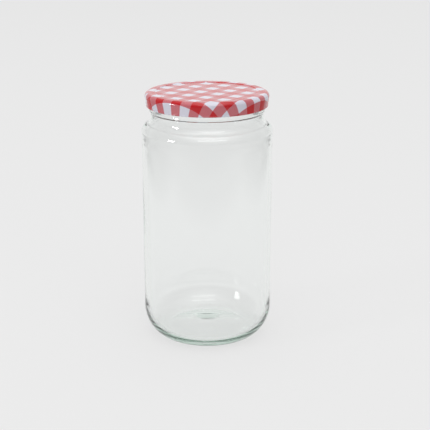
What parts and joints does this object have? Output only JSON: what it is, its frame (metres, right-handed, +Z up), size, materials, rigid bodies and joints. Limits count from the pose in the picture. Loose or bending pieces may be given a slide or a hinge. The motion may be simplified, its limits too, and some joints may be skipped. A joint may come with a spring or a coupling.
{
  "type": "storage jar with twist-off lid",
  "caption": "Straight-sided clear glass storage jar with a rounded heel, short neck and a metal twist-off lid printed with a red and white gingham check.",
  "frame": {"origin": "middle of the ring on the underside that the jar stands on", "axes": "+Z up along the axis of the jar, -Y towards the picture's viewer, +X to the viewer's right"},
  "size_m": [0.091, 0.091, 0.1755],
  "materials": {
    "glass": "clear, glossy, faint green in the thick base",
    "lid_print": "gloss lacquer with a red and white gingham check, white underside"
  },
  "bodies": {
    "root": {"glass_jar": "glass", "lid": "lid_print"}
  },
  "joints": []
}
